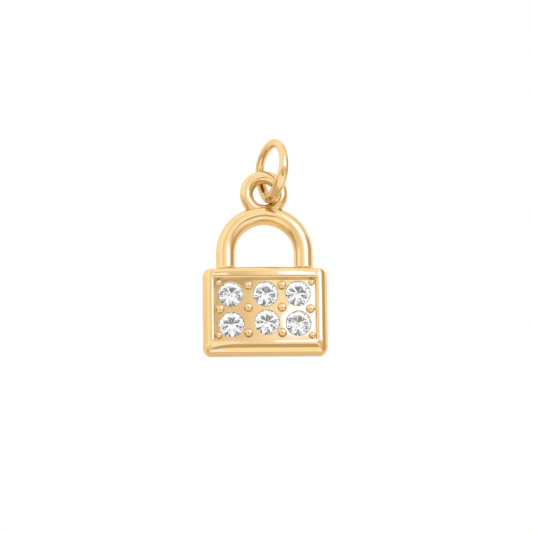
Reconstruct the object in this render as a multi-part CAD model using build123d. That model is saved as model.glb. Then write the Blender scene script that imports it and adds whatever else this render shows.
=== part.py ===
from build123d import *
import math
import os

# A padlock charm on a jump ring, in millimetres, hanging as it is worn: +Z is up and the front faces -Y.
# The origin is the inner top of the jump ring, where a chain carries it.

# Round brilliant stones, three across and two up
stone_diameter = 2.0
stone_gap_across = 0.71
stone_gap_up = 0.40
facet_repeats = 8
girdle_height = 0.05
girdle_sink = 0.02
table_share = 0.57
star_tip_share = 0.80
lower_tip_share = 0.25
crown_angle = 34.5
pavilion_angle = 40.75

# Drilled seats under the stones
seat_clearance = 0.03
seat_floor_share = 0.25

# Sunk front panel and its rim
panel_margin_side = 0.34
panel_margin_end = 0.31
panel_depth = 0.55
panel_rise = 0.06
rim_bevel = 0.24
rim_side = 0.75
rim_end = 0.80

# Padlock body
body_depth = 2.5
body_corner_radius = 0.60
body_edge_radius = 0.45
body_top_rise = 0.20

# Bead prongs
bead_diameter = 0.74
corner_bead_diameter = 0.56

# Shackle, a half ring of round wire on two short legs
shackle_radius = 3.165
shackle_wire = 1.54
leg_height = 1.265
foot_fillet = 0.18

# Fixed eye, soldered on top of the shackle and facing the front
eye_hole_diameter = 1.77
eye_wire = 1.07
eye_sink = 0.93

# Jump ring of round wire, cut once
ring_hole_diameter = 3.92
ring_wire = 0.68
ring_cut = 0.06
ring_cut_angle = 176.0
ring_turn = 25.0
ring_lean = -3.0

# How the ring passes through the eye: the angle round the ring, how far its wire is from resting on the
# eye, and how far it lies to the side
thread_angle = 211.0
thread_play = 0.272
thread_side = -0.02

# Worked out from the sizes above
stone_radius = stone_diameter / 2
crown_slope = math.tan(math.radians(crown_angle))
pavilion_slope = math.tan(math.radians(pavilion_angle))
stone_pitch_across = stone_diameter + stone_gap_across
stone_pitch_up = stone_diameter + stone_gap_up
panel_width = 2 * stone_pitch_across + stone_diameter + 2 * panel_margin_side
panel_height = stone_pitch_up + stone_diameter + 2 * panel_margin_end
opening_width = panel_width + 2 * rim_bevel
opening_height = panel_height + 2 * rim_bevel
body_width = opening_width + 2 * rim_side
body_height = opening_height + 2 * rim_end
panel_y = -body_depth / 2 + panel_depth
arch_radius = (body_width ** 2 / 4 + body_top_rise ** 2) / (2 * body_top_rise)
foot_z = body_height / 2 - arch_radius + math.sqrt(arch_radius ** 2 - shackle_radius ** 2)
shackle_z = body_height / 2 + leg_height
eye_radius = (eye_hole_diameter + eye_wire) / 2
eye_z = shackle_z + shackle_radius + shackle_wire / 2 + eye_wire / 2 + eye_radius - eye_sink
ring_radius = (ring_hole_diameter + ring_wire) / 2

# Stones: name, column and row of the grid, then how far each is set off its place, as shares of its diameter
STONES = [
    # name, column, row, shift across, shift up
    ("stone_top_left", -1, 0.5, -0.033, 0.035),
    ("stone_top_middle", 0, 0.5, 0.022, 0.040),
    ("stone_top_right", 1, 0.5, -0.033, 0.050),
    ("stone_bottom_left", -1, -0.5, -0.003, -0.010),
    ("stone_bottom_middle", 0, -0.5, 0.072, 0.080),
    ("stone_bottom_right", 1, -0.5, -0.018, 0.040),
]

# Beads on the right half, which the left half repeats: steps of the stone grid, then how far each stands
# off that place, as shares of the stone diameter
BEADS = [
    # column, row, share across, share up, in a corner
    (0.5, 0.5, 0.000, 0.390, False),
    (0.5, 0.0, 0.000, 0.085, False),
    (0.5, -0.5, 0.000, -0.350, False),
    (1.0, 0.5, 0.520, 0.505, True),
    (1.0, 0.0, 0.465, 0.020, False),
    (1.0, -0.5, 0.520, -0.455, True),
]


def around(share, degrees, height):
    """A point of the stone at a share of its radius, at an angle, and at a height."""
    radius = share * stone_radius
    angle = math.radians(degrees)
    return (radius * math.cos(angle), radius * math.sin(angle), height)


def facet(*points):
    return Face(Wire.make_polygon([Vector(*point) for point in points], close=True))


def brilliant():
    """One round brilliant, table up, with z 0 at the top of its girdle."""
    rise = crown_slope * stone_radius
    fall = pavilion_slope * stone_radius
    half_step = 180 / facet_repeats
    inset = math.cos(math.radians(half_step))
    table_z = rise * (1 - table_share)
    star_z = rise * (1 - star_tip_share * inset)
    lower_z = -girdle_height - fall * (1 - lower_tip_share * inset)
    culet = (0, 0, -girdle_height - fall)
    mains = [2 * half_step * k for k in range(facet_repeats)]
    faces = [facet(*[around(table_share, main, table_z) for main in mains])]
    for main in mains:
        before, after = main - half_step, main + half_step
        table_point = around(table_share, main, table_z)
        next_table_point = around(table_share, after + half_step, table_z)
        tip_before = around(star_tip_share, before, star_z)
        tip_after = around(star_tip_share, after, star_z)
        low_before = around(lower_tip_share, before, lower_z)
        low_after = around(lower_tip_share, after, lower_z)
        top = [around(1, angle, 0) for angle in (before, main, after)]
        bottom = [around(1, angle, -girdle_height) for angle in (before, main, after)]
        faces.append(facet(table_point, tip_before, top[1], tip_after))
        faces.append(facet(table_point, tip_after, next_table_point))
        faces.append(facet(culet, low_before, bottom[1], low_after))
        for side in (0, 1):
            faces.append(facet(top[side], top[side + 1], (tip_before, tip_after)[side]))
            faces.append(facet(top[side], top[side + 1], bottom[side + 1], bottom[side]))
            faces.append(facet(bottom[side], bottom[side + 1], (low_before, low_after)[side]))
    return Solid(Shell(faces))


def stone_place(column, row, shift_across, shift_up):
    """The centre of a stone on the panel, in the body's own frame."""
    x = column * stone_pitch_across + shift_across * stone_diameter
    z = panel_rise + row * stone_pitch_up + shift_up * stone_diameter
    return x, z


def facing_front(x, y, z):
    """Turns a shape's +Z to the front and puts it at a place in the body's frame."""
    return Location((x, y, z)) * Location((0, 0, 0), (90, 0, 0))


def body_block():
    """The padlock's body with its arched top, rounded corners and rounded edges."""
    side = body_width / 2
    end = body_height / 2
    shoulder = end - body_top_rise
    with BuildSketch(Plane.XZ) as outline:
        with BuildLine():
            Polyline((-side, shoulder), (-side, -end), (side, -end), (side, shoulder))
            ThreePointArc((side, shoulder), (0, end), (-side, shoulder))
        make_face()
        fillet(outline.vertices(), body_corner_radius)
    block = extrude(outline.sketch, body_depth / 2, both=True)
    edges = block.faces().filter_by(Axis.Y).edges()
    return fillet(edges, body_edge_radius)


def recess():
    """The space cut out in front of the panel, with the bevel round its opening."""
    front = Plane((0, -body_depth / 2, panel_rise), x_dir=(1, 0, 0), z_dir=(0, 1, 0))
    well = extrude(front * Rectangle(panel_width, panel_height), panel_depth)
    mouth = front * Rectangle(opening_width, opening_height)
    throat = front.offset(rim_bevel) * Rectangle(panel_width, panel_height)
    return well + loft([mouth.face(), throat.face()])


def seat():
    """The cut for one stone, from the body's front down, with z 0 at the panel: a hole, a cone and a pit."""
    rim = stone_radius + seat_clearance
    pit = rim * seat_floor_share
    shelf_z = -girdle_sink - girdle_height - seat_clearance
    cone_z = shelf_z - (rim - pit) * pavilion_slope
    culet_z = -girdle_sink - girdle_height - stone_radius * pavilion_slope
    floor_z = min(cone_z, culet_z) - seat_clearance
    with BuildSketch(Plane.XZ) as section:
        with BuildLine():
            Polyline((0, panel_depth), (rim, panel_depth), (rim, shelf_z), (pit, cone_z), (pit, floor_z),
                     (0, floor_z), close=True)
        make_face()
    return revolve(section.sketch, Axis.Z)


def wire_ring(radius, wire, degrees=360):
    """Round wire bent about +Z, from +X round by +Y."""
    section = Plane.XZ * Pos(radius, 0) * Circle(wire / 2)
    return revolve(section, Axis.Z, degrees)


def leg():
    """One leg of the shackle, from the bow down through a filleted foot into the body."""
    thin = shackle_wire / 2
    wide = thin + foot_fillet
    root_z = foot_z - body_top_rise - body_edge_radius
    with BuildSketch(Plane.XZ) as section:
        with BuildLine():
            Polyline((thin, foot_z + foot_fillet), (thin, shackle_z), (0, shackle_z), (0, root_z),
                     (wide, root_z), (wide, foot_z))
            CenterArc((wide, foot_z + foot_fillet), foot_fillet, 180, 90)
        make_face()
    return revolve(section.sketch, Axis.Z)


def shackle():
    """The half ring and its two legs."""
    bow = Location((0, 0, shackle_z), (90, 0, 0)) * wire_ring(shackle_radius, shackle_wire, 180)
    return bow + [Pos(side * shackle_radius, 0, 0) * leg() for side in (-1, 1)]


def eye():
    return Location((0, 0, eye_z), (90, 0, 0)) * wire_ring(eye_radius, eye_wire)


def beads():
    found = []
    for column, row, share_across, share_up, in_corner in BEADS:
        radius = (corner_bead_diameter if in_corner else bead_diameter) / 2
        x = column * stone_pitch_across + share_across * stone_diameter
        z = panel_rise + row * stone_pitch_up + share_up * stone_diameter
        found += [Pos(side * x, panel_y, z) * Sphere(radius) for side in (-1, 1)]
    return found


def lock_casting():
    """Body, shackle, eye and beads, cast in one piece, in the body's own frame."""
    casting = body_block() + shackle() + eye() - recess() + beads()
    cutter = seat()
    seats = [facing_front(x, panel_y, z) * cutter for x, z in [stone_place(*row[1:]) for row in STONES]]
    return casting - seats


def ring_direction(angle):
    """The unit vector from the ring's centre to its wire, from the top round by the front."""
    turn = math.radians(ring_turn)
    lean = math.radians(ring_lean)
    across = Vector(math.cos(turn) * math.cos(lean), math.sin(turn) * math.cos(lean), math.sin(lean))
    upward = (Vector(0, 0, 1) - across * across.Z).normalized()
    forward = across.cross(upward)
    step = math.radians(angle)
    return upward * math.cos(step) + forward * math.sin(step)


ring_centre = ring_direction(0) * (-ring_hole_diameter / 2)


def jump_ring():
    """The open ring, with its cut where ring_cut_angle says."""
    start = ring_direction(ring_cut_angle)
    side = ring_direction(ring_cut_angle + 90)
    plane = Plane(ring_centre, x_dir=start, z_dir=start.cross(side))
    opening = math.degrees(ring_cut / ring_radius)
    return plane * Rot(0, 0, opening / 2) * wire_ring(ring_radius, ring_wire, 360 - opening)


def eye_centre():
    """Where the eye's centre is, so that the ring's wire passes through its hole."""
    wire = ring_centre + ring_direction(thread_angle) * ring_radius
    drop = eye_hole_diameter / 2 - ring_wire / 2 - thread_play
    return wire + Vector(-thread_side, 0, drop)


charm_place = Pos(*(eye_centre() - Vector(0, 0, eye_z)))

if __name__ == "__main__":
    os.makedirs("parts", exist_ok=True)
    export_step(charm_place * lock_casting(), "parts/lock_casting.step")
    export_step(jump_ring(), "parts/jump_ring.step")
    cut_stone = brilliant()
    for name, *place in STONES:
        x, z = stone_place(*place)
        y = panel_y + girdle_sink
        export_step(charm_place * facing_front(x, y, z) * cut_stone, f"parts/{name}.step")
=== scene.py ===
import bmesh
import bpy
import math
from mathutils import Matrix, Vector, geometry, noise


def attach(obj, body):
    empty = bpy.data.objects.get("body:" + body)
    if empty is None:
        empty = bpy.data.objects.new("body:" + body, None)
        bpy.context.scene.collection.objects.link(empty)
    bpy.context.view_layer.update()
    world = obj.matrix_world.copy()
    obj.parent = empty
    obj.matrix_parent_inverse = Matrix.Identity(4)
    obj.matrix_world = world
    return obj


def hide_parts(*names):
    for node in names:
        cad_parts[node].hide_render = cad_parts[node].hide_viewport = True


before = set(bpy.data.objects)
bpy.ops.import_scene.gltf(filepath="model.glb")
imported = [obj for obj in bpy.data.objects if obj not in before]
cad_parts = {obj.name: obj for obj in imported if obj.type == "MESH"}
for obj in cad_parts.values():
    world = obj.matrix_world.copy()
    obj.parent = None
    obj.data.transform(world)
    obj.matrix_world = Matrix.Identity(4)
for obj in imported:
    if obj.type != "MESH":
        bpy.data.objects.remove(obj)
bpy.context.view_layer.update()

# Sizes in millimetres, the same as in the part's source
MM = 0.001
BODY_CENTRE = Vector((-0.667108, 0.986644, -13.428097))
BODY_WIDTH = 10.08
BODY_HEIGHT = 7.10
BODY_DEPTH = 2.5
CORNER_RADIUS = 0.60
EDGE_RADIUS = 0.45
TOP_RISE = 0.20
PANEL_WIDTH = 8.10
PANEL_HEIGHT = 5.02
PANEL_RISE = 0.06
PANEL_Y = -0.70
STONE_RADIUS = 1.0
SEAT_CLEARANCE = 0.03
GIRDLE_SINK = 0.02
SHACKLE_RADIUS = 3.165
SHACKLE_WIRE = 1.54
SHACKLE_Z = 4.815
FOOT_FILLET = 0.25
EYE_RADIUS = 1.42
EYE_WIRE = 1.07
EYE_Z = 9.775
RING_RADIUS = 2.30
RING_WIRE = 0.68
RING_CUT = 0.06
RING_CUT_ANGLE = 176.0
RING_TURN = 25.0
RING_LEAN = -3.0
RING_SIDES = 48
RING_STEPS = 240

# Stones: name, place on the panel, how far each is turned about its own axis, and how it tips sideways and up
STONES = [
    ("stone_top_left", -2.776, 1.33, 9.0, 2.6, -1.6),
    ("stone_top_middle", 0.044, 1.34, 31.0, 1.6, 1.2),
    ("stone_top_right", 2.644, 1.36, 17.0, 1.2, 2.4),
    ("stone_bottom_left", -2.716, -1.16, 25.0, -2.2, 2.2),
    ("stone_bottom_middle", 0.144, -0.98, 3.0, 0.4, 2.6),
    ("stone_bottom_right", 2.674, -1.06, 38.0, 2.4, -1.8),
]

# How flat the beads are in front: 2 is a ball
BEAD_POWER = 2.7

# Beads on the right half, which the left half repeats: place on the panel and radius
BEADS = [
    (1.355, 2.04, 0.37),
    (1.355, 0.23, 0.37),
    (1.355, -1.84, 0.37),
    (3.75, 2.27, 0.28),
    (3.64, 0.10, 0.37),
    (3.75, -2.05, 0.28),
]


# Small helpers

def smoothstep(value):
    value = max(0.0, min(1.0, value))
    return value * value * (3 - 2 * value)


def blend(low, high, share):
    return low + (high - low) * share


def in_body(x, y, z):
    """A point of the body's own frame, in metres in the shared frame."""
    return (BODY_CENTRE + Vector((x, y, z))) * MM


def finish_mesh(name, mesh, body, nodes, material, flat=()):
    """Turns a bmesh into a smooth piece on a body, in place of CAD nodes. Flat faces stay flat."""
    bmesh.ops.recalc_face_normals(mesh, faces=mesh.faces)
    for face in mesh.faces:
        face.smooth = True
    for face in flat:
        face.smooth = False
    data = bpy.data.meshes.new(name)
    mesh.to_mesh(data)
    mesh.free()
    piece = bpy.data.objects.new(name, data)
    bpy.context.scene.collection.objects.link(piece)
    if material is not None:
        data.materials.append(material)
    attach(piece, body)
    if nodes:
        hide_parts(*nodes)
    return piece


def skin(mesh, rings, closed=False, caps=True):
    """Quads between rings of points. A closed skin joins its last ring to its first. Caps fill the ends."""
    made = [[mesh.verts.new(point) for point in ring] for ring in rings]
    count = len(made[0])
    pairs = list(zip(made[:-1], made[1:]))
    if closed:
        pairs.append((made[-1], made[0]))
    for low, high in pairs:
        for k in range(count):
            after = (k + 1) % count
            mesh.faces.new((low[k], low[after], high[after], high[k]))
    if caps and not closed:
        mesh.faces.new(made[0])
        mesh.faces.new(made[-1])
    return made


# The padlock's body

SIDE_STEPS = 60
CORNER_STEPS = 20
TOP_STEPS = 96


def arc_points(centre_x, centre_z, radius, start, end, steps):
    return [
        (
            centre_x + radius * math.cos(math.radians(blend(start, end, k / steps))),
            centre_z + radius * math.sin(math.radians(blend(start, end, k / steps))),
        )
        for k in range(steps)
    ]


def line_points(start, end, steps):
    return [
        (blend(start[0], end[0], k / steps), blend(start[1], end[1], k / steps))
        for k in range(steps)
    ]


def outer_outline(inset):
    """The body's outline, drawn in by an inset, from the right side's foot round by the top."""
    side = BODY_WIDTH / 2
    end = BODY_HEIGHT / 2
    arch = (side ** 2 + TOP_RISE ** 2) / (2 * TOP_RISE)
    arch_z = end - arch
    corner_x = side - CORNER_RADIUS
    top_corner_z = arch_z + math.sqrt((arch - CORNER_RADIUS) ** 2 - corner_x ** 2)
    low_corner_z = -end + CORNER_RADIUS
    radius = CORNER_RADIUS - inset
    lean = math.degrees(math.atan2(top_corner_z - arch_z, corner_x))
    points = line_points((side - inset, low_corner_z), (side - inset, top_corner_z), SIDE_STEPS)
    points += arc_points(corner_x, top_corner_z, radius, 0, lean, CORNER_STEPS)
    points += arc_points(0, arch_z, arch - inset, lean, 180 - lean, TOP_STEPS)
    points += arc_points(-corner_x, top_corner_z, radius, 180 - lean, 180, CORNER_STEPS)
    points += line_points((inset - side, top_corner_z), (inset - side, low_corner_z), SIDE_STEPS)
    points += arc_points(-corner_x, low_corner_z, radius, 180, 270, CORNER_STEPS)
    points += line_points((-corner_x, inset - end), (corner_x, inset - end), TOP_STEPS)
    points += arc_points(corner_x, low_corner_z, radius, 270, 360, CORNER_STEPS)
    return points


def inner_outline(grow, radius):
    """The panel's outline, grown outward, with its corners rounded, in step with the outer outline."""
    side = PANEL_WIDTH / 2 + grow
    end = PANEL_HEIGHT / 2 + grow
    corner_x = side - radius
    corner_z = end - radius
    points = line_points((side, -corner_z), (side, corner_z), SIDE_STEPS)
    points += arc_points(corner_x, corner_z, radius, 0, 90, CORNER_STEPS)
    points += line_points((corner_x, end), (-corner_x, end), TOP_STEPS)
    points += arc_points(-corner_x, corner_z, radius, 90, 180, CORNER_STEPS)
    points += line_points((-side, corner_z), (-side, -corner_z), SIDE_STEPS)
    points += arc_points(-corner_x, -corner_z, radius, 180, 270, CORNER_STEPS)
    points += line_points((-corner_x, -end), (corner_x, -end), TOP_STEPS)
    points += arc_points(corner_x, -corner_z, radius, 270, 360, CORNER_STEPS)
    return [(x, z + PANEL_RISE) for x, z in points]


# The rim's section, from the outer wall up to its crest, differs at the sides, the top and the bottom. Each
# section gives how far in a point is, as a share of the rim's width, and how deep behind the body's front.
INNER_ROLL = 0.24
INNER_CORNER = 0.06
BOTTOM_ROLL_POWER = 14.0
TOP_ROLL_SHARE = 0.6
ROLL_STEPS = 16
RIM_STEPS = 60
BACK_STEPS = 12
BACK_SHARES = (0.15, 0.5, 0.85)
WALL_SHARES = (0.33, 0.66, 1.0)
SIDE_DEPTH = 1.05
TOP_ROLL = 0.40
TOP_EDGE_SHARE = 0.6

# The bottom rim's slope: millimetres below the crest and degrees of slope there, then a round edge
BOTTOM_SLOPE = [(0.0, 0.0), (0.05, 0.6), (0.20, 2.6), (0.44, 11.0), (0.53, 19.0), (0.80, 29.5)]
BOTTOM_EDGE = 0.20
BOTTOM_SLOPE_SHARE = 0.9
SLOPE_STEPS = 40
EDGE_STEPS = 16

# The crest is a broad flat towards the bottom rim's left end: how broad, where it starts and how it grows
LEFT_FLAT = 0.55
LEFT_FLAT_START = -2.35
LEFT_FLAT_RUN = 2.50
LEFT_FLAT_POWER = 2.2


def bottom_profile():
    """Points from the crest to the outer wall: how far below the crest and how deep behind it each is."""
    points = [(0.0, 0.0)]
    for (start, low), (end, high) in zip(BOTTOM_SLOPE[:-1], BOTTOM_SLOPE[1:]):
        steps = max(2, round(SLOPE_STEPS * (end - start) / BOTTOM_SLOPE[-1][0]))
        for k in range(1, steps + 1):
            tilt = math.radians(blend(low, high, (k - 0.5) / steps))
            run = (end - start) / steps
            points.append((points[-1][0] + run, points[-1][1] + run * math.tan(tilt)))
    reach, depth = points[-1]
    first = math.radians(BOTTOM_SLOPE[-1][1])
    for k in range(1, EDGE_STEPS + 1):
        turn = blend(first, math.pi / 2, k / EDGE_STEPS)
        down = BOTTOM_EDGE * (math.sin(turn) - math.sin(first))
        points.append((reach + down, depth + BOTTOM_EDGE * (math.cos(first) - math.cos(turn))))
    return points


BOTTOM_POINTS = bottom_profile()


def side_section(share):
    """A quarter ellipse."""
    turn = math.radians(90 * (1 - share))
    return 1 - math.sin(turn), SIDE_DEPTH * (1 - math.cos(turn))


def top_section(share):
    """A round edge, then flat."""
    width = BODY_HEIGHT / 2 - PANEL_HEIGHT / 2 - INNER_ROLL - PANEL_RISE
    if share < TOP_EDGE_SHARE:
        turn = math.radians(90 * (1 - share / TOP_EDGE_SHARE))
        return TOP_ROLL / width * (1 - math.sin(turn)), TOP_ROLL * (1 - math.cos(turn))
    return blend(TOP_ROLL / width, 1.0, (share - TOP_EDGE_SHARE) / (1 - TOP_EDGE_SHARE)), 0.0


def bottom_section(share, x):
    """A tight edge, then a wide soft slope up to the crest, which is a broad flat towards the left."""
    reach = BOTTOM_POINTS[-1][0]
    flat = LEFT_FLAT * max(0.0, (LEFT_FLAT_START - x) / LEFT_FLAT_RUN) ** LEFT_FLAT_POWER
    if share > BOTTOM_SLOPE_SHARE:
        return 1 - flat * (1 - share) / (1 - BOTTOM_SLOPE_SHARE), 0.0
    spot = (1 - share / BOTTOM_SLOPE_SHARE) * (len(BOTTOM_POINTS) - 1)
    low = min(int(spot), len(BOTTOM_POINTS) - 2)
    down, depth = [blend(a, b, spot - low) for a, b in zip(BOTTOM_POINTS[low], BOTTOM_POINTS[low + 1])]
    return 1 - flat - (1 - flat) * down / reach, depth * (1 - flat)


def rim_point(outer, crest, normal, share):
    """A point of the rim: its section changes smoothly round the corners with the outline's direction."""
    upward = normal[1] ** 2
    inward, depth = side_section(share)
    other = top_section(share) if normal[1] > 0 else bottom_section(share, outer[0])
    inward = blend(inward, other[0], upward)
    depth = blend(depth, other[1], upward)
    x, z = (blend(start, end, inward) for start, end in zip(outer, crest))
    return in_body(x, depth - BODY_DEPTH / 2, z)


def roll_depth(share, normal):
    """The inner roll: a quarter circle, shallower at the top, and leaving the crest later at the bottom."""
    downward = max(0.0, -normal[1])
    upward = max(0.0, normal[1])
    power = blend(2.0, BOTTOM_ROLL_POWER, downward ** 2)
    reach = INNER_ROLL * blend(1.0, TOP_ROLL_SHARE, upward ** 2)
    return reach * (1 - (1 - min(1.0, share) ** power) ** (1 / power))


def outline_normals(outline):
    """The outward direction at each point of an outline that runs anticlockwise."""
    normals = []
    for k in range(len(outline)):
        before = outline[k - 1]
        after = outline[(k + 1) % len(outline)]
        along = Vector((after[0] - before[0], after[1] - before[1])).normalized()
        normals.append((along.y, -along.x))
    return normals


def body_rings():
    """Rings of the body from the middle of its back, round the side and the rim, down to the panel's edge."""
    front = -BODY_DEPTH / 2
    back = BODY_DEPTH / 2
    rings = []
    for share in BACK_SHARES:
        points = outer_outline(EDGE_RADIUS)
        rings.append([in_body(x * share, back, z * share) for x, z in points])
    for k in range(BACK_STEPS + 1):
        turn = math.radians(90 * k / BACK_STEPS)
        inset = EDGE_RADIUS * (1 - math.sin(turn))
        y = back - EDGE_RADIUS * (1 - math.cos(turn))
        rings.append([in_body(x, y, z) for x, z in outer_outline(inset)])
    outer = outer_outline(0)
    normals = outline_normals(outer)
    crest = inner_outline(INNER_ROLL, INNER_ROLL + INNER_CORNER)
    for k in range(RIM_STEPS + 1):
        rings.append([rim_point(o, c, n, k / RIM_STEPS) for o, c, n in zip(outer, crest, normals)])
    normals = outline_normals(inner_outline(0, INNER_CORNER))
    for k in range(1, ROLL_STEPS + 1):
        share = math.sin(math.radians(90 * k / ROLL_STEPS))
        grow = INNER_ROLL * (1 - share)
        points = zip(inner_outline(grow, grow + INNER_CORNER), normals)
        rings.append([in_body(x, front + roll_depth(share, normal), z) for (x, z), normal in points])
    foot = [roll_depth(1.0, normal) for normal in normals]
    for depth in WALL_SHARES:
        points = zip(inner_outline(0, INNER_CORNER), foot)
        rings.append([in_body(x, blend(front + low, PANEL_Y, depth), z) for (x, z), low in points])
    return rings


# Drilled seats
SEAT_STEPS = 72
SEAT_MOUTH = STONE_RADIUS + SEAT_CLEARANCE

# What counts as over a seat, as shares of its rim's radius: for a triangle's middle and for its corners
WITHIN = 0.9999
EDGE_SLACK = 1.001
MERGE_WITHIN = 1e-7

# How much wider than the mouth each ring of a seat is, and how deep it lies, with a bright cut at the mouth
SEAT_PROFILE = [
    (0.026, 0.000),
    (0.014, -0.003),
    (0.002, 0.003),
    (-0.018, 0.016),
    (-0.022, 0.100),
    (-0.270, 0.330),
    (-0.780, 0.800),
    (-0.780, 0.980),
]


def seat_circle(x, z, radius):
    turns = [2 * math.pi * k / SEAT_STEPS for k in range(SEAT_STEPS)]
    return [(x + radius * math.cos(turn), z + radius * math.sin(turn)) for turn in turns]


def in_seat(corners, centre, reach):
    """Whether a triangle of the panel lies over a seat."""
    middle = sum(corners, Vector((0, 0))) / 3
    inside = (middle - centre).length < reach * math.cos(math.pi / SEAT_STEPS)
    return inside and all((corner - centre).length < reach * EDGE_SLACK for corner in corners)


def drill_seat(mesh, x, z, rim):
    """The walls and the floor of one seat, down from its rim in the panel."""
    before = rim
    for grow, depth in SEAT_PROFILE[1:]:
        circle = seat_circle(x, z, SEAT_MOUTH + grow)
        after = [mesh.verts.new(in_body(cx, PANEL_Y + depth, cz)) for cx, cz in circle]
        for k in range(SEAT_STEPS):
            step = (k + 1) % SEAT_STEPS
            mesh.faces.new((before[k], before[step], after[step], after[k]))
        before = after
    mesh.faces.new(before)


def fill_panel(mesh, border):
    """The flat panel between its edge and the seats, and the seats. Gives back the panel's faces."""
    points = [Vector((v.co.x / MM - BODY_CENTRE.x, v.co.z / MM - BODY_CENTRE.z)) for v in border]
    loops = [list(range(len(points)))]
    for _, x, z, *_ in STONES:
        loops.append(list(range(len(points), len(points) + SEAT_STEPS)))
        points += [Vector(p) for p in seat_circle(x, z, SEAT_MOUTH + SEAT_PROFILE[0][0])]
    edges = [(loop[k], loop[(k + 1) % len(loop)]) for loop in loops for k in range(len(loop))]
    corners_out, _, triangles, sources, *_ = geometry.delaunay_2d_cdt(points, edges, [], 0, MERGE_WITHIN)
    rims = [[mesh.verts.new(in_body(points[k].x, PANEL_Y, points[k].y)) for k in loop] for loop in loops[1:]]
    verts = list(border) + [vert for rim in rims for vert in rim]
    centres = [Vector((x, z)) for _, x, z, *_ in STONES]
    reach = (SEAT_MOUTH + SEAT_PROFILE[0][0]) * WITHIN
    flat = []
    for triangle in triangles:
        corners = [corners_out[k] for k in triangle]
        middle = sum(corners, Vector((0, 0))) / 3
        on_panel = abs(middle.x) < PANEL_WIDTH / 2 and abs(middle.y - PANEL_RISE) < PANEL_HEIGHT / 2
        if on_panel and not any(in_seat(corners, centre, reach) for centre in centres):
            flat.append(mesh.faces.new([verts[sources[k][0]] for k in triangle]))
    for (_, x, z, *_), rim in zip(STONES, rims):
        drill_seat(mesh, x, z, rim)
    return flat


def make_body(material):
    mesh = bmesh.new()
    made = skin(mesh, body_rings(), caps=False)
    mesh.faces.new(made[0])
    panel = fill_panel(mesh, made[-1])
    return finish_mesh("lock_body", mesh, "charm", ["lock_casting"], material, flat=panel)


# Shackle, eye and beads

def tube_ring(centre, across, along_out, radius, steps):
    """One ring of a tube. across and along_out are the two directions of its section."""
    return [
        centre + across * (radius * math.cos(2 * math.pi * k / steps))
        + along_out * (radius * math.sin(2 * math.pi * k / steps))
        for k in range(steps)
    ]


TUBE_STEPS = 64
BOW_STEPS = 96
EYE_STEPS = 128
FOOT_STEPS = 10
LEG_STEPS = 4
FOOT_DEPTH = 0.6


def leg_rings():
    """Height and radius of each ring of a leg, from its foot inside the body up to the bow."""
    radius = SHACKLE_WIRE / 2
    foot_z = BODY_HEIGHT / 2 - TOP_RISE * (2 * SHACKLE_RADIUS / BODY_WIDTH) ** 2
    legs = [(BODY_HEIGHT / 2 - FOOT_DEPTH, radius + FOOT_FILLET)]
    for k in range(FOOT_STEPS + 1):
        turn = math.radians(90 * k / FOOT_STEPS)
        up = FOOT_FILLET * (1 - math.cos(turn))
        out = FOOT_FILLET * (1 - math.sin(turn))
        legs.append((foot_z + up, radius + out))
    for k in range(1, LEG_STEPS):
        legs.append((blend(foot_z + FOOT_FILLET, SHACKLE_Z, k / LEG_STEPS), radius))
    return legs


def make_shackle(material):
    """A half ring on two legs, whose feet flare into the body's top."""
    mesh = bmesh.new()
    radius = SHACKLE_WIRE / 2
    front = Vector((0, -1, 0))
    legs = leg_rings()
    rings = []
    for z, wide in legs:
        rings.append(tube_ring(Vector((SHACKLE_RADIUS, 0, z)), front, Vector((1, 0, 0)), wide, TUBE_STEPS))
    for k in range(BOW_STEPS + 1):
        turn = math.pi * k / BOW_STEPS
        out = Vector((math.cos(turn), 0, math.sin(turn)))
        centre = out * SHACKLE_RADIUS + Vector((0, 0, SHACKLE_Z))
        rings.append(tube_ring(centre, front, out, radius, TUBE_STEPS))
    for z, wide in reversed(legs):
        rings.append(tube_ring(Vector((-SHACKLE_RADIUS, 0, z)), front, Vector((-1, 0, 0)), wide, TUBE_STEPS))
    skin(mesh, [[(p + BODY_CENTRE) * MM for p in ring] for ring in rings])
    return finish_mesh("lock_shackle", mesh, "charm", ["lock_casting"], material)


def make_eye(material):
    mesh = bmesh.new()
    front = Vector((0, -1, 0))
    rings = []
    for k in range(EYE_STEPS):
        turn = 2 * math.pi * k / EYE_STEPS
        out = Vector((math.cos(turn), 0, math.sin(turn)))
        centre = out * EYE_RADIUS + Vector((0, 0, EYE_Z)) + BODY_CENTRE
        rings.append([p * MM for p in tube_ring(centre, front, out, EYE_WIRE / 2, TUBE_STEPS)])
    skin(mesh, rings, closed=True)
    return finish_mesh("lock_eye", mesh, "charm", ["lock_casting"], material)


BEAD_SIDES = 48
BEAD_RINGS = 28


def make_beads(material):
    """Twelve small beads that stand half out of the panel, a little flatter in front than balls."""
    mesh = bmesh.new()
    for x, z, radius in BEADS:
        for side in (-1, 1):
            centre = in_body(side * x, PANEL_Y, z)
            place = Matrix.Translation(centre)
            ball = bmesh.ops.create_uvsphere(mesh, u_segments=BEAD_SIDES, v_segments=BEAD_RINGS,
                                             radius=radius * MM, matrix=place)
            for vert in ball["verts"]:
                spot = vert.co - centre
                out = min(1.0, math.hypot(spot.x, spot.z) / (radius * MM))
                if spot.y < 0:
                    vert.co.y = centre.y - radius * MM * (1 - out ** BEAD_POWER) ** (1 / BEAD_POWER)
    return finish_mesh("lock_beads", mesh, "charm", ["lock_casting"], material)


# Jump ring

def ring_axes():
    turn = math.radians(RING_TURN)
    lean = math.radians(RING_LEAN)
    across = Vector((math.cos(turn) * math.cos(lean), math.sin(turn) * math.cos(lean), math.sin(lean)))
    upward = (Vector((0, 0, 1)) - across * across.z).normalized()
    forward = across.cross(upward)
    return across, upward, forward


# Out of the ring's plane: how far its back part is bent, what of that is left at the cut, and its front end
RING_BACK_BEND = 0.36
RING_END_SHARE = 0.35
RING_FRONT_BEND = -0.10

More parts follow.
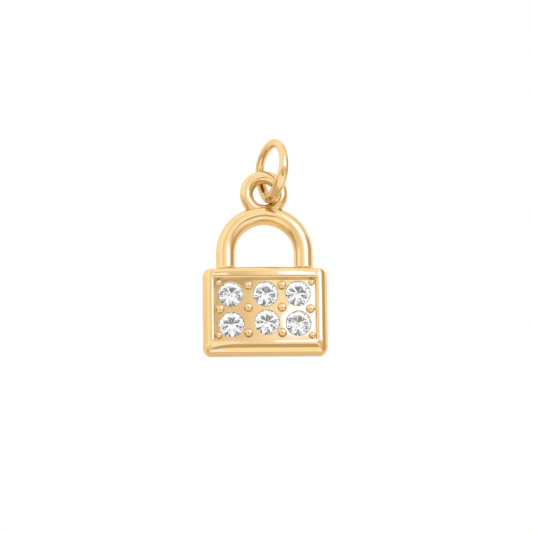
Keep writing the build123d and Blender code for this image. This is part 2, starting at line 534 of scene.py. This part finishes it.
# The wire's width at the back, and its width, thickness, squareness and twist at the pinched front end
RING_SWELL = 1.15
RING_BROAD = 1.28
RING_THIN = 0.86
RING_SQUARE = 3.0
RING_TWIST = 50.0

# The rough cut: how deep, how many degrees from the end it reaches, and its coarse and fine grain
RING_ROUGH = 0.05
RING_ROUGH_REACH = 11.0
RING_COARSE = 4.5
RING_FINE = 11.0

# Degrees round the ring from which each change comes in, and to which it is complete
BACK_BEND_SPAN = (305.0, 230.0)
END_BEND_SPAN = (190.0, 228.0)
FRONT_BEND_SPAN = (440.0, 515.0)
PINCH_SPAN = (420.0, 500.0)
SWELL_SPAN = (300.0, 250.0)
SWELL_END_SPAN = (205.0, 230.0)
TWIST_SPAN = (430.0, 520.0)


def over(angle, span):
    """0 before a span of angles and 1 after it, smoothly."""
    start, end = span
    return smoothstep((angle - start) / (end - start))


def ring_bend(angle):
    """How far the wire is bent out of the ring's plane: its two ends are a little past each other."""
    back = RING_BACK_BEND * over(angle, BACK_BEND_SPAN)
    kept = blend(RING_END_SHARE, 1.0, over(angle, END_BEND_SPAN))
    return back * kept + RING_FRONT_BEND * over(angle, FRONT_BEND_SPAN)


def ring_section(angle, centre, across, out):
    """The wire's section: round, pinched broad and twisted towards its front end, and rough by the cut."""
    pinch = over(angle, PINCH_SPAN)
    swell = blend(1.0, RING_SWELL, over(angle, SWELL_SPAN) * over(angle, SWELL_END_SPAN))
    twist = math.radians(RING_TWIST) * over(angle, TWIST_SPAN)
    wide = across * math.cos(twist) + out * math.sin(twist)
    thin = out * math.cos(twist) - across * math.sin(twist)
    power = 2 / blend(2.0, RING_SQUARE, pinch)
    to_end = min(angle - RING_CUT_ANGLE, RING_CUT_ANGLE + 360 - angle)
    rough = RING_ROUGH * smoothstep(1 - to_end / RING_ROUGH_REACH)
    ring = []
    for k in range(RING_SIDES):
        turn = 2 * math.pi * k / RING_SIDES
        a, b = math.cos(turn), math.sin(turn)
        a = math.copysign(abs(a) ** power, a) * blend(swell, RING_BROAD, pinch)
        b = math.copysign(abs(b) ** power, b) * blend(1.0, RING_THIN, pinch)
        spot = centre + (wide * a + thin * b) * (RING_WIRE / 2)
        dent = rough * (noise.noise(spot * RING_COARSE) + 0.5 * noise.noise(spot * RING_FINE))
        ring.append((spot + (wide * a + thin * b) * dent) * MM)
    return ring


def make_ring(material):
    """The open ring, from one cut end by the back and the top round to the other end at the front."""
    mesh = bmesh.new()
    across, upward, forward = ring_axes()
    centre = upward * (RING_WIRE / 2 - RING_RADIUS)
    half_gap = math.degrees(RING_CUT / RING_RADIUS) / 2
    rings = []
    for k in range(RING_STEPS + 1):
        angle = blend(RING_CUT_ANGLE + half_gap, RING_CUT_ANGLE + 360 - half_gap, k / RING_STEPS)
        turn = math.radians(angle)
        out = upward * math.cos(turn) + forward * math.sin(turn)
        spot = centre + out * RING_RADIUS + across * ring_bend(angle)
        rings.append(ring_section(angle, spot, across, out))
    skin(mesh, rings)
    return finish_mesh("ring_wire", mesh, "ring", ["jump_ring"], material)


# Stones

FACET_REPEATS = 8
GIRDLE_HEIGHT = 0.05
TABLE_SHARE = 0.57
STAR_TIP_SHARE = 0.80
LOWER_TIP_SHARE = 0.25
CROWN_ANGLE = 34.5
PAVILION_ANGLE = 40.75


def make_stone(name, x, z, turned, tip_side, tip_up, crown_material, foil_material):
    """One round brilliant: clear crown and girdle over a silvered back."""
    mesh = bmesh.new()
    rise = math.tan(math.radians(CROWN_ANGLE)) * STONE_RADIUS
    fall = math.tan(math.radians(PAVILION_ANGLE)) * STONE_RADIUS
    half_step = 180 / FACET_REPEATS
    inset = math.cos(math.radians(half_step))
    table_z = rise * (1 - TABLE_SHARE)
    star_z = rise * (1 - STAR_TIP_SHARE * inset)
    lower_z = -GIRDLE_HEIGHT - fall * (1 - LOWER_TIP_SHARE * inset)
    tip = Matrix.Rotation(math.radians(tip_up), 3, "X") @ Matrix.Rotation(math.radians(tip_side), 3, "Z")
    seat_place = Vector((x, PANEL_Y + GIRDLE_SINK, z))
    known = {}

    def corner(share, degrees, height):
        """A shared corner of the stone, with its table facing the front."""
        key = (round(share, 4), round(degrees % 360, 3), round(height, 5))
        if key not in known:
            angle = math.radians(degrees + turned)
            radius = share * STONE_RADIUS
            spot = tip @ Vector((radius * math.cos(angle), -height, radius * math.sin(angle)))
            known[key] = mesh.verts.new(in_body(*(seat_place + spot)))
        return known[key]

    mains = [2 * half_step * k for k in range(FACET_REPEATS)]
    crown = [mesh.faces.new([corner(TABLE_SHARE, main, table_z) for main in mains])]
    back = []
    culet = corner(0, 0, -GIRDLE_HEIGHT - fall)
    for main in mains:
        before, after = main - half_step, main + half_step
        table_point = corner(TABLE_SHARE, main, table_z)
        next_point = corner(TABLE_SHARE, after + half_step, table_z)
        tips = [corner(STAR_TIP_SHARE, angle, star_z) for angle in (before, after)]
        lows = [corner(LOWER_TIP_SHARE, angle, lower_z) for angle in (before, after)]
        top = [corner(1, angle, 0) for angle in (before, main, after)]
        bottom = [corner(1, angle, -GIRDLE_HEIGHT) for angle in (before, main, after)]
        crown.append(mesh.faces.new((table_point, tips[0], top[1], tips[1])))
        crown.append(mesh.faces.new((table_point, tips[1], next_point)))
        back.append(mesh.faces.new((culet, lows[0], bottom[1], lows[1])))
        for side in (0, 1):
            crown.append(mesh.faces.new((top[side], top[side + 1], tips[side])))
            crown.append(mesh.faces.new((top[side], top[side + 1], bottom[side + 1], bottom[side])))
            back.append(mesh.faces.new((bottom[side], bottom[side + 1], lows[side])))
    for face in back:
        face.material_index = 1
    gem = name.replace("stone", "gem")
    piece = finish_mesh(gem, mesh, "charm", [name], None, flat=list(mesh.faces))
    piece.data.materials.append(crown_material)
    piece.data.materials.append(foil_material)
    return piece


# Materials

class Maths:
    """Writes small sums as shader nodes."""

    def __init__(self, tree):
        self.nodes = tree.nodes
        self.links = tree.links

    def put(self, value, socket):
        if isinstance(value, bpy.types.NodeSocket):
            self.links.new(value, socket)
        else:
            socket.default_value = value

    def sum(self, operation, *values):
        node = self.nodes.new("ShaderNodeMath")
        node.operation = operation
        for value, socket in zip(values, node.inputs):
            self.put(value, socket)
        return node.outputs[0]

    def place(self):
        """The mesh's own coordinates, whole and as x, y and z."""
        whole = self.nodes.new("ShaderNodeTexCoord").outputs["Object"]
        split = self.nodes.new("ShaderNodeSeparateXYZ")
        self.put(whole, split.inputs[0])
        return [whole] + list(split.outputs)

    def stretched(self, place):
        """Coordinates drawn out upward, in which noise turns into fine lines."""
        node = self.nodes.new("ShaderNodeMapping")
        node.inputs["Scale"].default_value = LINE_STRETCH
        self.put(place, node.inputs["Vector"])
        return node.outputs["Vector"]

    def noise(self, place, scale, detail):
        node = self.nodes.new("ShaderNodeTexNoise")
        node.inputs["Scale"].default_value = scale
        node.inputs["Detail"].default_value = detail
        self.put(place, node.inputs["Vector"])
        return node.outputs["Fac"]

    def step(self, value, start, end):
        """0 before start and 1 after end, smoothly."""
        node = self.nodes.new("ShaderNodeMapRange")
        node.interpolation_type = "SMOOTHSTEP"
        self.put(value, node.inputs["Value"])
        node.inputs["From Min"].default_value = min(start, end)
        node.inputs["From Max"].default_value = max(start, end)
        node.inputs["To Min"].default_value = 0.0 if start < end else 1.0
        node.inputs["To Max"].default_value = 1.0 if start < end else 0.0
        return node.outputs["Result"]

    def band(self, value, low, high, soft):
        inside = self.step(value, low - soft / 2, low + soft / 2)
        return self.sum("MULTIPLY", inside, self.step(value, high + soft / 2, high - soft / 2))

    def mix(self, share, low, high):
        node = self.nodes.new("ShaderNodeMix")
        node.data_type = "RGBA"
        self.put(share, node.inputs[0])
        self.put(low, node.inputs[6])
        self.put(high, node.inputs[7])
        return node.outputs[2]


def new_material(name):
    material = bpy.data.materials.new(name)
    material.use_nodes = True
    return material, material.node_tree.nodes["Principled BSDF"]


GOLD = (0.983, 0.708, 0.352, 1)

# Painted reflection: the gold's colour where it shows mirrored in other gold, darker as painted shade, and
# lighter as painted light on the body's top and beside the panel's edges
SHADED_IN_GOLD = (0.62, 0.53, 0.43, 1)
LIT_IN_GOLD = (1.0, 1.0, 1.0, 1)
LIGHT_FROM_X = 3.80
LIGHT_FROM_Z = 2.25
LIGHT_SOFT = 0.2

# Painted shade: darker gold low on the ring's back, where it passes behind the eye
SHADED_GOLD = (0.80, 0.54, 0.25, 1)
SHADE_BEHIND = 0.35
SHADE_BELOW = -2.60
SHADE_SOFT = 0.2

# Worn lines, and how strong they are in front and on the brushed back
WORN_GOLD = (0.70, 0.45, 0.18, 1)
BRUSH_SCALE = 8000
BRUSH_DETAIL = 3
BRUSH_LINES = (0.40, 0.75)
FRONT_WEAR = 0.03
BACK_WEAR = 0.22
BACK_SOFT = 0.3

# The stones' clear front and its gloss, tinted warm as a painted reflection, and their silvered back
CROWN_COLOUR = (0.985, 0.985, 0.985, 1)
CROWN_IOR = 1.55
CROWN_PAINTED_GLINT = (1.0, 0.73, 0.40, 1)
FOIL_COLOUR = (0.95, 0.95, 0.95, 1)

# Gloss and bumps: the part of the noise that counts, the height of a full bump, and the scale and detail of
# waves and lines. Then for each material the scale of its clouds, its range of gloss and how high its waves and
# lines are.
CLOUD_RANGE = (0.35, 0.70)
BUMP_HEIGHT = 0.00001
LINE_STRETCH = (1.0, 1.0, 0.08)
WAVE_SCALE = 1.3
LINE_SCALE = 12
CLOUD_DETAIL = 3
WAVE_DETAIL = 1
LINE_DETAIL = 2
GOLD_CLOUDS = 700
GOLD_GLOSS = (0.018, 0.045)
GOLD_WAVES = 0.035
GOLD_LINES = 0.004
CROWN_CLOUDS = 2000
CROWN_GLOSS = (0.0, 0.015)
CROWN_WAVES = 0.010
CROWN_LINES = 0.001
FOIL_CLOUDS = 2500
FOIL_GLOSS = (0.015, 0.05)
FOIL_WAVES = 0.020
FOIL_LINES = 0.002


def body_painted_reflection(maths, x, z):
    """The body's colour where other gold mirrors it: painted light on its top and beside the edges of its
    panel, painted shade elsewhere.
    """
    off_middle = maths.sum("ABSOLUTE", maths.sum("SUBTRACT", x, BODY_CENTRE.x * MM))
    beyond = maths.step(off_middle, LIGHT_FROM_X * MM, (LIGHT_FROM_X + LIGHT_SOFT) * MM)
    low = in_body(0, 0, LIGHT_FROM_Z).z
    above = maths.step(z, low, low + LIGHT_SOFT * MM)
    return maths.mix(maths.sum("MAXIMUM", above, beyond), SHADED_IN_GOLD, LIT_IN_GOLD)


def body_wear(maths, y):
    """How worn the body is: its flat back is brushed."""
    back = in_body(0, BODY_DEPTH / 2, 0).y
    at_back = maths.step(y, back - BACK_SOFT * MM, back)
    return maths.sum("ADD", maths.sum("MULTIPLY", at_back, BACK_WEAR), FRONT_WEAR)


def painted_shade_behind_eye(maths, y, z):
    """Where the ring passes behind the eye, and its gold is darkened as painted shade."""
    behind = maths.step(y, (SHADE_BEHIND - SHADE_SOFT) * MM, (SHADE_BEHIND + SHADE_SOFT) * MM)
    below = maths.step(z, (SHADE_BELOW + SHADE_SOFT) * MM, (SHADE_BELOW - SHADE_SOFT) * MM)
    return maths.sum("MULTIPLY", behind, below)


def gold_material(name, is_body=False, is_ring=False):
    """Polished gold plate over a cast surface: soft waves, fine polishing lines and uneven gloss. Where other
    gold mirrors it, its colour is a painted reflection tone, and the ring's gold is darker low behind the eye
    as painted shade.
    """
    material, shader = new_material(name)
    maths = Maths(material.node_tree)
    place, x, y, z = maths.place()
    mirrored_tone = body_painted_reflection(maths, x, z) if is_body else SHADED_IN_GOLD
    path = maths.nodes.new("ShaderNodeLightPath")
    # Painted reflection: gold seen mirrored in other gold takes a painted darker or lighter tone
    colour = maths.mix(path.outputs["Is Glossy Ray"], GOLD, mirrored_tone)
    if is_ring:
        # Painted shade: the ring's gold is darker low behind the eye
        colour = maths.mix(painted_shade_behind_eye(maths, y, z), colour, SHADED_GOLD)
    worn = body_wear(maths, y) if is_body else FRONT_WEAR
    lines = maths.step(maths.noise(maths.stretched(place), BRUSH_SCALE, BRUSH_DETAIL), *BRUSH_LINES)
    colour = maths.mix(maths.sum("MULTIPLY", lines, worn), colour, WORN_GOLD)
    maths.put(colour, shader.inputs["Base Color"])
    shader.inputs["Metallic"].default_value = 1.0
    wear(maths, shader, GOLD_CLOUDS, GOLD_GLOSS, GOLD_WAVES, GOLD_LINES)
    return material


def wear(maths, shader, scale, gloss_range, waves, lines):
    """Gloss that varies in soft clouds, with a faintly wavy surface under fine polishing lines."""
    place = maths.place()[0]
    cloud = maths.noise(place, scale, CLOUD_DETAIL)
    wave = maths.noise(place, scale * WAVE_SCALE, WAVE_DETAIL)
    fine = maths.noise(maths.stretched(place), scale * LINE_SCALE, LINE_DETAIL)
    gloss = maths.nodes.new("ShaderNodeMapRange")
    gloss.inputs["From Min"].default_value, gloss.inputs["From Max"].default_value = CLOUD_RANGE
    gloss.inputs["To Min"].default_value, gloss.inputs["To Max"].default_value = gloss_range
    maths.put(cloud, gloss.inputs["Value"])
    maths.put(gloss.outputs["Result"], shader.inputs["Roughness"])
    bump = maths.nodes.new("ShaderNodeBump")
    bump.inputs["Strength"].default_value = 1.0
    bump.inputs["Distance"].default_value = BUMP_HEIGHT
    height = maths.sum("ADD", maths.sum("MULTIPLY", wave, waves), maths.sum("MULTIPLY", fine, lines))
    maths.put(height, bump.inputs["Height"])
    maths.put(bump.outputs["Normal"], shader.inputs["Normal"])


def crown_material():
    """The stones' clear front. Its gloss is tinted warm, a painted reflection of the warm surroundings."""
    material, shader = new_material("crystal_clear")
    shader.inputs["Base Color"].default_value = CROWN_COLOUR
    shader.inputs["Transmission Weight"].default_value = 1.0
    wear(Maths(material.node_tree), shader, CROWN_CLOUDS, CROWN_GLOSS, CROWN_WAVES, CROWN_LINES)
    shader.inputs["IOR"].default_value = CROWN_IOR
    shader.inputs["Specular Tint"].default_value = CROWN_PAINTED_GLINT
    return material


def foil_material():
    """The stones' silvered back."""
    material, shader = new_material("crystal_foil")
    shader.inputs["Base Color"].default_value = FOIL_COLOUR
    shader.inputs["Metallic"].default_value = 1.0
    wear(Maths(material.node_tree), shader, FOIL_CLOUDS, FOIL_GLOSS, FOIL_WAVES, FOIL_LINES)
    return material


# Light: a white studio with flags and softboxes, each at a heading from the front towards the right

WHITE = (1.0, 1.0, 1.0)
DIM = (0.82, 0.76, 0.70)
TAN = (0.67, 0.56, 0.46)
BROWN = (0.60, 0.46, 0.32)
WARM = (0.95, 0.78, 0.52)
GLARE = (0.38, 0.52, 0.95)

# Patches of the studio, each over the ones before it: headings and elevations in degrees, how soft they are
# across and up, colour and strength
PATCHES = [
    # All that lies below the charm
    ((-200, 200), (-95, 1), 12, 24, TAN, 0.97),
    # White low at the far right, grey at the far left and round the camera
    ((81, 200), (-13, 3), 15, 17, WHITE, 1.0),
    ((-200, -77), (-26, 11), 2, 11, DIM, 1.02),
    ((-60, 22), (-40, 4), 19, 15, DIM, 1.03),
    # White table top in front and towards the right
    ((-31, 133), (-56, -10), 40, 9, WHITE, 0.95),
    # Brown flags at the left and right, and a darker foot of the studio
    ((-91, -74), (-26, -4), 17, 25, BROWN, 0.80),
    ((-138, 122), (-76, -59), 12, 37, TAN, 0.75),
    ((56, 98), (-74, 27), 40, 15, TAN, 0.93),
    # Grey left of the camera, with a softbox high beside it
    ((-34, -20), (-16, 48), 32, 20, DIM, 0.91),
    ((-60, -56), (15, 44), 28, 29, WHITE, 1.5),
    # Light from low in front, dark under it, and grey straight below
    ((-45, 45), (-55, -24), 20, 8, DIM, 1.32),
    ((-45, 45), (-78, -60), 20, 8, TAN, 0.85),
    ((-200, 200), (-100, -80), 20, 6, DIM, 1.1),
    # Narrow brown flags at the lower left and the right
    ((-68, -54), (-30, -16), 10, 8, BROWN, 0.62),
    ((64, 112), (-12, 32), 10, 14, BROWN, 0.95),
    # The main softbox, high at the right of the camera, and a small lamp under it
    ((15, 56), (7, 42), 11, 9, GLARE, 3.2),
    ((6, 22), (-43, -34), 4, 5, GLARE, 2.4),
    # Grey above the softbox
    ((72, 125), (34, 96), 40, 7, DIM, 0.98),
    # Warm walls behind the charm, darker below
    ((-260, -135), (-60, 45), 30, 20, WARM, 1.0),
    ((135, 260), (-60, 45), 30, 20, WARM, 1.0),
    ((-260, -150), (-32, -3), 20, 8, WARM, 0.73),
    ((150, 260), (-32, -3), 20, 8, WARM, 0.73),
]


# What light that has passed through a stone meets: a white room with dark bars, darkest round the camera
STONE_PATCHES = [
    ((-12, 9), (-22, -2), 5, 5, WHITE, 0.22),
    ((-42, -30), (-30, 40), 6, 8, WHITE, 0.45),
    ((20, 32), (-40, 20), 6, 8, WHITE, 0.44),
    ((48, 60), (-30, 60), 6, 8, WHITE, 0.32),
    ((-72, -60), (-50, 50), 6, 8, WHITE, 0.36),
    ((-20, 40), (22, 33), 8, 6, WHITE, 0.48),
    ((-60, 20), (-50, -38), 8, 6, WHITE, 0.44),
    ((-200, 200), (-95, -68), 10, 8, WHITE, 0.45),
    ((-60, 30), (50, 62), 8, 6, WHITE, 0.44),
]
STONE_WHITE = (1.17, 1.165, 1.16, 1.0)

# What dims the studio where the gold mirrors it a second time
SECOND_MIRROR = (1.0, 0.90, 0.66, 1.0)
STUDIO_WHITE = (1.0, 1.0, 1.0, 1.0)


def paint(maths, heading, elevation, colour, patches):
    """Lays patches of light over a colour."""
    for headings, elevations, soft_across, soft_up, tint, strength in patches:
        across = maths.band(heading, *headings, soft_across)
        up = maths.band(elevation, *elevations, soft_up)
        share = maths.sum("MULTIPLY", across, up)
        shade = tuple(channel * strength for channel in tint) + (1.0,)
        colour = maths.mix(share, colour, shade)
    return colour


def studio_world():
    world = bpy.data.worlds.new("studio")
    world.use_nodes = True
    tree = world.node_tree
    maths = Maths(tree)
    place = tree.nodes.new("ShaderNodeTexCoord")
    split = tree.nodes.new("ShaderNodeSeparateXYZ")
    tree.links.new(place.outputs["Generated"], split.inputs[0])
    x, y, z = split.outputs
    heading = maths.sum("DEGREES", maths.sum("ARCTAN2", x, maths.sum("MULTIPLY", y, -1.0)))
    elevation = maths.sum("DEGREES", maths.sum("ARCSINE", z))
    colour = paint(maths, heading, elevation, STUDIO_WHITE, PATCHES)
    in_stone = paint(maths, heading, elevation, STONE_WHITE, STONE_PATCHES)
    path = tree.nodes.new("ShaderNodeLightPath")
    passed = maths.sum("GREATER_THAN", path.outputs["Transmission Depth"], 0.5)
    again = maths.sum("GREATER_THAN", path.outputs["Glossy Depth"], 1.5)
    calm = tree.nodes.new("ShaderNodeMix")
    calm.data_type = "RGBA"
    calm.blend_type = "MULTIPLY"
    maths.put(again, calm.inputs[0])
    maths.put(colour, calm.inputs[6])
    calm.inputs[7].default_value = SECOND_MIRROR
    colour = maths.mix(passed, calm.outputs[2], in_stone)
    colour = maths.mix(path.outputs["Is Camera Ray"], colour, STUDIO_WHITE)
    background = tree.nodes["Background"]
    tree.links.new(colour, background.inputs["Color"])
    bpy.context.scene.world = world


# A card close in front of the body, seen only in the gold, gives the flat panel and rim their tones.
# Its own coordinates are the places on the body's front, in millimetres, that mirror it to the camera.

CARD_GAP = 100.0
CARD_SIDE = 22.0
CARD_LOW = -32.0
CARD_HIGH = 16.0
CARD_WHITE = (1.15, 1.60, 3.20, 1.0)

# Tones across the card, from the left, and how far the scale of tones reaches to each side
CARD_TONE_REACH = 10.0
CARD_TONES = [
    (-4.2, (0.62, 0.54, 0.45)),
    (-3.3, (0.79, 0.73, 0.69)),
    (-1.7, (0.80, 0.75, 0.71)),
    (-0.5, (0.93, 0.89, 0.90)),
    (0.6, (1.00, 1.00, 1.02)),
    (5.0, (1.00, 1.00, 1.03)),
]

# In what follows a pair is where an edge starts and where it is complete. Three numbers are a band's two
# edges and how soft they are.

# Browner at the panel's upper left
CORNER_TONE = (0.46, 0.38, 0.28, 1.0)
CORNER_SHARE = 0.85
CORNER_UP = (1.55, 2.45)
CORNER_LEFT = (0.3, -2.2)
CORNER_END = (2.95, 2.65)

# Lighter on the bottom rim, most at its left
UNDER_TONE = (1.02, 1.02, 1.10, 1.0)
UNDER_DOWN = (-2.48, -2.58)
UNDER_LEFT = (-0.6, -2.6)

# White blob on the panel's right third: its left edge slants above one height and bends out below another
BLOB_LEFT = 1.30
BLOB_SLANT = 0.70
BLOB_SLANT_ABOVE = -0.5
BLOB_BEND = 0.42
BLOB_BEND_BELOW = -0.9
BLOB_EDGE = (-0.12, 0.18)
BLOB_RIGHT = (4.16, 4.02)
BLOB_HEIGHT = (-2.02, 2.42, 0.15)

# White strip on the top rim, pointed at its left end, and a pale patch at the rim's left
STRIP_Z = 2.99
STRIP_LEAN = 0.05
STRIP_HALF = 0.25
STRIP_POINT = (0.7, 1.9)
STRIP_EDGE = (0.05, -0.02)
STRIP_ENDS = (1.0, 4.25, 0.15)
PALE_TONE = (1.08, 1.22, 1.65, 1.0)
PALE_HEIGHT = (2.7, 3.3, 0.1)
PALE_LEFT = (-2.9, -3.2)

# White strip on the bottom rim
LOW_STRIP_LEFT = (0.5, 1.0)
LOW_STRIP_HEIGHT = (-3.4, -2.46, 0.06)

# Brown flag lower down, for the bottom rim, the bow and the beads, and the part of the card that isn't clear
FLAG_TONE = (0.53, 0.46, 0.37, 1.0)
FLAG_WIDTH = (-7.5, 17.0, 3.0)
FLAG_HEIGHT = (-30.0, -7.0, 2.0)
COVER_WIDTH = (-5.2, 5.2, 1.0)
COVER_HEIGHT = (-6.0, 3.9, 1.0)


def card_place(camera_spot):
    """How much larger the card's pattern is than the body's front, and where its middle lies."""
    front = -BODY_DEPTH / 2
    growth = CARD_GAP / (front - camera_spot.y)
    return 1 + growth, in_body(-camera_spot.x * growth, front - CARD_GAP, -camera_spot.z * growth)


def card_tones(maths, x):
    """The scale of tones from left to right."""
    tones = maths.nodes.new("ShaderNodeValToRGB")
    ramp = tones.color_ramp
    reach = 2 * CARD_TONE_REACH
    for k, (spot, tint) in enumerate(CARD_TONES):
        stop = ramp.elements[0] if k == 0 else ramp.elements.new(spot / reach + 0.5)
        stop.position = spot / reach + 0.5
        stop.color = tint + (1.0,)
    ramp.elements.remove(ramp.elements[-1])
    maths.put(maths.sum("ADD", maths.sum("DIVIDE", x, reach), 0.5), tones.inputs[0])
    return tones.outputs[0]


def card_blob(maths, x, z):
    """The white blob on the panel."""
    over_slant = maths.sum("MAXIMUM", maths.sum("SUBTRACT", z, BLOB_SLANT_ABOVE), 0.0)
    slant = maths.sum("MULTIPLY", over_slant, BLOB_SLANT)
    below = maths.sum("MAXIMUM", maths.sum("SUBTRACT", BLOB_BEND_BELOW, z), 0.0)
    bend = maths.sum("MULTIPLY", maths.sum("POWER", below, 2.0), BLOB_BEND)
    edge = maths.sum("ADD", maths.sum("ADD", slant, bend), BLOB_LEFT)
    past = maths.sum("SUBTRACT", x, edge)
    blob = maths.sum("MULTIPLY", maths.step(past, *BLOB_EDGE), maths.step(x, *BLOB_RIGHT))
    return maths.sum("MULTIPLY", blob, maths.band(z, *BLOB_HEIGHT))


def card_strip(maths, x, z):
    """The white strip on the top rim."""
    half = maths.sum("MULTIPLY", maths.step(x, *STRIP_POINT), STRIP_HALF)
    level = maths.sum("ADD", maths.sum("MULTIPLY", x, STRIP_LEAN), STRIP_Z)
    off = maths.sum("ABSOLUTE", maths.sum("SUBTRACT", z, level))
    inside = maths.step(maths.sum("SUBTRACT", off, half), *STRIP_EDGE)
    return maths.sum("MULTIPLY", inside, maths.band(x, *STRIP_ENDS))


def card_shade(maths, x, z):
    """The card's colours, laid over each other."""
    shade = card_tones(maths, x)
    high_left = maths.sum("MULTIPLY", maths.step(z, *CORNER_UP), maths.step(x, *CORNER_LEFT))
    corner = maths.sum("MULTIPLY", high_left, maths.step(z, *CORNER_END))
    shade = maths.mix(maths.sum("MULTIPLY", corner, CORNER_SHARE), shade, CORNER_TONE)
    under = maths.sum("MULTIPLY", maths.step(z, *UNDER_DOWN), maths.step(x, *UNDER_LEFT))
    shade = maths.mix(under, shade, UNDER_TONE)
    pale = maths.sum("MULTIPLY", maths.band(z, *PALE_HEIGHT), maths.step(x, *PALE_LEFT))
    shade = maths.mix(pale, shade, PALE_TONE)
    low_strip = maths.sum("MULTIPLY", maths.step(x, *LOW_STRIP_LEFT), maths.band(z, *LOW_STRIP_HEIGHT))
    strips = maths.sum("MAXIMUM", card_strip(maths, x, z), low_strip)
    return maths.mix(maths.sum("MAXIMUM", card_blob(maths, x, z), strips), shade, CARD_WHITE)


def card_material():
    """Glows where the card is covered, and is clear elsewhere."""
    material, shader = new_material("card_light")
    maths = Maths(material.node_tree)
    nodes = maths.nodes
    _, x, _, z = maths.place()
    flag = maths.sum("MULTIPLY", maths.band(x, *FLAG_WIDTH), maths.band(z, *FLAG_HEIGHT))
    cover = maths.sum("MULTIPLY", maths.band(x, *COVER_WIDTH), maths.band(z, *COVER_HEIGHT))
    glow = nodes.new("ShaderNodeEmission")
    maths.put(maths.mix(flag, card_shade(maths, x, z), FLAG_TONE), glow.inputs["Color"])
    clear_part = nodes.new("ShaderNodeBsdfTransparent")
    mixed = nodes.new("ShaderNodeMixShader")
    maths.put(maths.sum("MAXIMUM", cover, flag), mixed.inputs[0])
    maths.put(clear_part.outputs[0], mixed.inputs[1])
    maths.put(glow.outputs[0], mixed.inputs[2])
    maths.put(mixed.outputs[0], nodes["Material Output"].inputs["Surface"])
    nodes.remove(shader)
    return material


def make_card(camera_spot):
    mesh = bmesh.new()
    corners = [(-CARD_SIDE, CARD_LOW), (CARD_SIDE, CARD_LOW), (CARD_SIDE, CARD_HIGH), (-CARD_SIDE, CARD_HIGH)]
    mesh.faces.new([mesh.verts.new((x, 0, z)) for x, z in corners])
    data = bpy.data.meshes.new("front_card")
    mesh.to_mesh(data)
    mesh.free()
    card = bpy.data.objects.new("front_card", data)
    bpy.context.scene.collection.objects.link(card)
    growth, middle = card_place(camera_spot)
    card.matrix_world = Matrix.Translation(middle) @ Matrix.Scale(growth * MM, 4)
    card.visible_camera = False
    card.visible_diffuse = False
    card.visible_shadow = False
    card.visible_transmission = False
    data.materials.append(card_material())


# Floor, far below the hanging charm

FLOOR_SIZE = 3.0
FLOOR_Z = -0.25
FLOOR_COLOUR = (0.99, 0.99, 0.99, 1)
FLOOR_ROUGHNESS = 0.8


def make_floor():
    mesh = bmesh.new()
    bmesh.ops.create_grid(mesh, x_segments=1, y_segments=1, size=FLOOR_SIZE)
    data = bpy.data.meshes.new("floor")
    mesh.to_mesh(data)
    mesh.free()
    floor = bpy.data.objects.new("floor", data)
    bpy.context.scene.collection.objects.link(floor)
    floor.location = (0, 0, FLOOR_Z)
    floor.visible_glossy = False
    floor.visible_transmission = False
    floor.visible_diffuse = False
    material, shader = new_material("floor_pale")
    shader.inputs["Base Color"].default_value = FLOOR_COLOUR
    shader.inputs["Roughness"].default_value = FLOOR_ROUGHNESS
    data.materials.append(material)


# Camera, a long lens from a little below and to the left

CAMERA_SIDE = 2.0
CAMERA_RISE = 11.45
CAMERA_ROLL = -0.65
CAMERA_DISTANCE = 150.0
CAMERA_LENS = 125.14
SENSOR_WIDTH = 36.0
CLIP_START = 0.01
CLIP_END = 10.0
AIM_ACROSS = 0.160
AIM_UP = 3.662


def make_camera():
    """Sets the camera and gives back its place in the body's own frame, in millimetres."""
    side = math.radians(CAMERA_SIDE)
    rise = math.radians(CAMERA_RISE)
    roll = math.radians(CAMERA_ROLL)
    ahead = Vector((math.sin(side) * math.cos(rise), math.cos(side) * math.cos(rise), math.sin(rise)))
    level = Vector((math.cos(side), -math.sin(side), 0))
    up = level.cross(ahead)
    right = level * math.cos(roll) + up * math.sin(roll)
    up = up * math.cos(roll) - level * math.sin(roll)
    aim = BODY_CENTRE + level * AIM_ACROSS + level.cross(ahead) * AIM_UP
    spot = aim - ahead * CAMERA_DISTANCE
    data = bpy.data.cameras.new("camera")
    data.lens = CAMERA_LENS
    data.sensor_width = SENSOR_WIDTH
    data.clip_start = CLIP_START
    data.clip_end = CLIP_END
    camera = bpy.data.objects.new("camera", data)
    bpy.context.scene.collection.objects.link(camera)
    turn = Matrix((right, up, -ahead)).transposed().to_4x4()
    camera.matrix_world = Matrix.Translation(spot * MM) @ turn
    bpy.context.scene.camera = camera
    return spot - BODY_CENTRE


# The making of all of it

bpy.context.scene.view_settings.view_transform = "Standard"
wire_gold = gold_material("gold_wire")
clear = crown_material()
foil = foil_material()
make_body(gold_material("gold_body", is_body=True))
make_shackle(wire_gold)
make_eye(wire_gold)
make_beads(wire_gold)
make_ring(gold_material("gold_ring", is_ring=True))
for stone in STONES:
    make_stone(*stone, clear, foil)
studio_world()
make_floor()
make_card(make_camera())
